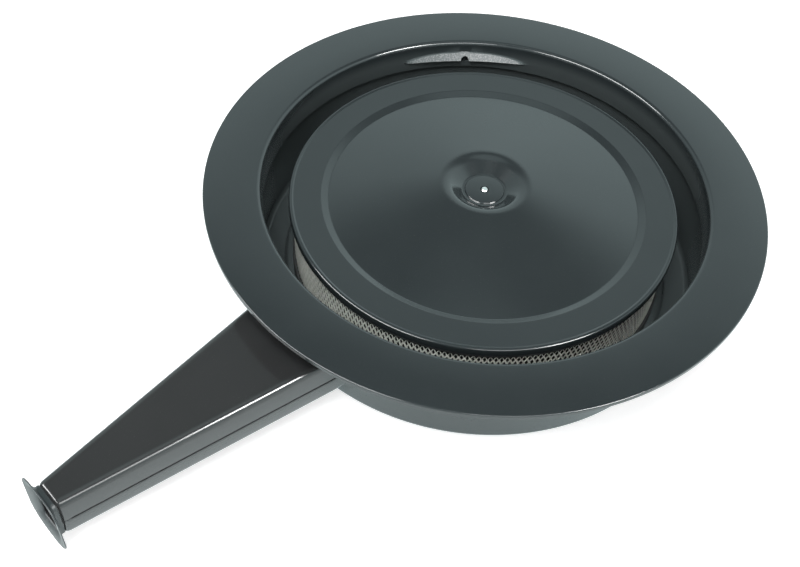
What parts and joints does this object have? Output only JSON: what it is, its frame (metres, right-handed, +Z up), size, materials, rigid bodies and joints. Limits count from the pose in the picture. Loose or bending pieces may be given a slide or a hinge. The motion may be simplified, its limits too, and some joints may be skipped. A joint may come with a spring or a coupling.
{
  "type": "carburetor air cleaner",
  "caption": "Round carburetor air cleaner: deep pan with a wide flat seal flange, sunken lid on a pleated ring filter, and a tapered rectangular snorkel with a flared mouth.",
  "frame": {"origin": "on the pan's axis, in the plane of the foot ring that the pan stands on", "axes": "+Z up along the pan's axis, towards the lid; +X along the snorkel, from the axis to the mouth; +Y to the left when looking along +X"},
  "size_m": [0.715, 0.5056, 0.102],
  "materials": {
    "base_pan": "semi-gloss black paint, baked",
    "seal_flange": "semi-gloss black paint, baked",
    "lid": "gloss black paint, baked",
    "center_stud": "zinc plated, turned end",
    "filter_bottom_seal": "moulded, matt",
    "filter_top_seal": "moulded, matt",
    "filter_outer_screen": "dull expanded sheet",
    "filter_inner_screen": "dull expanded sheet",
    "filter_paper": "resin-treated filter paper",
    "snorkel_upper": "semi-gloss black paint, baked",
    "snorkel_lower": "semi-gloss black paint, baked",
    "snorkel_mouth": "semi-gloss black paint, baked",
    "carb_gasket": "dense flat sheet, matt"
  },
  "bodies": {
    "root": {"base_pan": "base_pan", "seal_flange": "seal_flange", "lid": "lid", "center_stud": "center_stud", "filter_bottom_seal": "filter_bottom_seal", "filter_top_seal": "filter_top_seal", "filter_outer_screen": "filter_outer_screen", "filter_inner_screen": "filter_inner_screen", "filter_paper": "filter_paper", "snorkel_upper": "snorkel_upper", "snorkel_lower": "snorkel_lower", "snorkel_mouth": "snorkel_mouth", "carb_gasket": "carb_gasket"}
  },
  "joints": []
}
